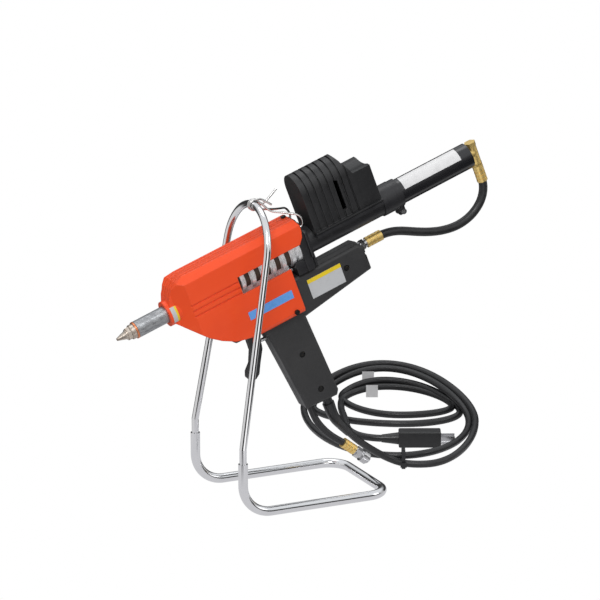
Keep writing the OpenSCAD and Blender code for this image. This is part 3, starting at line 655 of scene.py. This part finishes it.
def make_bail():
    """One wire from the frame, twice round the loop and back, and its two cut ends."""
    leg = ((235, 3.6, 71.7), (242, 5, 59.5), (252, 9, 53.5), (261, 14, 48.5), (268, 17.5, 44.5),
           (271.5, 18.3, 38), (271, 17.5, 31), (268.3, 17, 27.6), (264.5, 17, 27), (258.5, 17, 27))
    near = [on_gun(s, -y, t) for s, y, t in reversed(leg)]
    wrap = [wrap_point(30 + k * WRAP_STEP, -WRAP_HALF + 2 * WRAP_HALF * k / WRAP_STEPS)
            for k in range(WRAP_STEPS + 1)]
    far = [on_gun(s, y, t) for s, y, t in ((232, 3.6, 64.6), *leg[1:])]
    mesh = bmesh.new()
    line = evened(smooth_line(near + wrap + far, TUBE_STEP), TUBE_STEP, 2)
    add_tube(mesh, line, WIRE_R * MM, 12)
    for end in (((228.6, 2.8, 70), (237, 2, 70.6), (243.4, 1, 72.3), (260.4, 0, 80.5)),
                ((228.5, -2.8, 80.8), (233.8, -2.8, 79.8), (238.5, -3, 76), (246, -4, 66))):
        add_tube(mesh, smooth_line([on_gun(*p) for p in end], 0.0015), WIRE_R * MM, 12)
    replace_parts(piece("bail", mesh, "wire_steel", "gun", ROUND_PIECE), "hanger_bail")


LINK_R, TAIL_R = 0.0055, 0.0045


def make_hoses():
    """The hose from the housing to the cylinder, and the short one below the grip."""
    link = ((522, 0, -38), (522, 0, -42), (521, 0, -47), (517, 0, -56), (508, 0, -66.5),
            (492, 0, -75.5), (471.5, 0, -79), (451, 0, -76), (432, 0, -69), (414, 0, -59.5),
            (397, 0, -49.5), (383, 0, -43.5), (369, 0, -41), (366, 0, -41))
    line = evened(smooth_line([on_gun(*p) for p in link], 0.003), 0.003, 6)
    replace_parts(tube("link_hose_shown", line, LINK_R, "hose_rubber", "gun", 20), "link_hose")
    top, grip_end = on_gun(203, 0, -194.5), on_gun(203, 0, -202)
    route = [top, top + Vector((6, -1, -17)) * MM]
    route += [Vector(p) * MM for p in ((16, -4, 88), (30, -8, 72), (48, -11, 59.5))]
    line = evened(smooth_line(route, 0.002), 0.0025, 6)
    hose = tube("tail_hose_shown", line, TAIL_R, "hose_rubber", "gun", 20)
    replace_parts(hose, "tail_hose")


make_bail()
make_hoses()

# ------------------------------------------------------------------ mains cord

CORD_R = 0.00465
GLAND = on_gun(227, 0, -220.6)       # where the cord leaves the grip
COIL = Matrix.Translation((0.2075, 0.178, 0)) @ Matrix.Rotation(math.radians(-25.4), 4, "Z")
# Each turn of the coil by its nearest, rightmost, farthest and leftmost point, in the coil's
# frame, in mm.
TURNS = ((42, -160, 4.7), (114, 8, 14), (-5, 166, 42), (-112, 55, 14),
         (8, -150, 13), (106, 14, 10), (-5, 157, 38), (-100, 85, 6),
         (20, 12, 4.7), (97, 66, 4.7), (-5, 148, 24), (-62, 120, 10),
         (16, 50, 5), (88, 90, 5), (0, 141, 17), (-62, 95, 10))
QUARTER_STEPS = 12


def quarter(a, b, upright):
    """The quarter of an ellipse between two neighbouring points of a turn.

    It starts upright, along the coil's y, or else along its x.
    """
    points = []
    for k in range(QUARTER_STEPS):
        f = k / QUARTER_STEPS * math.pi / 2
        if upright:
            x = b[0] + (a[0] - b[0]) * math.cos(f)
            y = a[1] + (b[1] - a[1]) * math.sin(f)
        else:
            x = a[0] + (b[0] - a[0]) * math.sin(f)
            y = b[1] - (b[1] - a[1]) * math.cos(f)
        z = a[2] + (b[2] - a[2]) * (1 - math.cos(2 * f)) / 2
        points.append(Vector((x, y, z)))
    return points


def plug_run():
    """From the last turn round to the plug, in the coil's frame."""
    run = [Vector(p) for p in ((-62, 95, 10), (-62, 53, 12), (-58, 10, 13), (-55, -30, 13))]
    for k in range(1, 6):
        a = math.radians(18 * k)
        run.append(Vector((-11 - 44 * math.cos(a), -30 - 44 * math.sin(a), 14 - 2 * math.sin(a))))
    return run + [Vector((1, -74, 12))]


def cord_line():
    """From the gland down to the coil, four turns round it, and in to the plug."""
    lead = [on_gun(227, 0, -212), GLAND, GLAND + Vector((5.5, 1, -13)) * MM]
    lead += [Vector(p) * MM for p in ((56, 9, 75), (85, 22, 48), (113, 31, 27), (139, 34, 11))]
    turns = [Vector((18, -160, 5.5))]
    for i, (a, b) in enumerate(zip(TURNS, TURNS[1:])):
        turns += quarter(a, b, i % 2 == 1)
    turns += plug_run()
    return evened(smooth_line(lead + [COIL @ (p * MM) for p in turns], 0.004), 0.004, 8)


SLEEVE_POINTS = 17                   # how many of the line's points the strain relief covers
SLEEVE_R, SLEEVE_END_R = 0.0078, 0.0056


def make_cord():
    """The mains cord and its strain relief."""
    line = cord_line()
    cord = tube("mains_cord", line, CORD_R, "cord_rubber", None, 14)
    mesh = bmesh.new()
    add_tube(mesh, line[:SLEEVE_POINTS], SLEEVE_R, 20, SLEEVE_END_R)
    sleeve = piece("strain_relief", mesh, "cord_rubber", None, ROUND_PIECE)
    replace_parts(cord, "power_cord", "cord_coil", "cord_end")
    for bent in (cord, sleeve):
        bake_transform(bent)


make_cord()

# ------------------------------------------------------------------ label stripes and fin gaps

NOSE_R = 16.8                        # the nose label's outside
NOSE_FROM, NOSE_TO = 52, 128         # the part of it that the stripes cover, in degrees


def make_stripes():
    """The housing label's yellow head, and the nose label's yellow and silver stripes."""
    mesh = bmesh.new()
    add_block(mesh, (251, -15.5, -47.3), (299.5, -15.25, -42))
    add_band(mesh, 78, 80.6, NOSE_R, NOSE_FROM, NOSE_TO, 0.15)
    piece("label_stripes", mesh, "label_yellow", "gun")
    mesh = bmesh.new()
    add_band(mesh, 72.5, 78, NOSE_R, NOSE_FROM, NOSE_TO, 0.12)
    piece("nose_plate", mesh, "label_silver", "gun")


GAP_R, FIN_PITCH = 17.5, 14.6        # the melt chamber between its fins, and their spacing


def make_fin_gaps():
    """Dark brown bands on the melt chamber, in the gaps between its fins."""
    mesh = bmesh.new()
    for k in range(5):
        add_band(mesh, 176 + FIN_PITCH * k, 182.4 + FIN_PITCH * k, GAP_R, 0, 350, 0.15, 48)
    add_band(mesh, 164, 169, GAP_R, 0, 350, 0.15, 48)
    piece("fin_gaps", mesh, "thermostat_brown", "gun")


make_stripes()
make_fin_gaps()
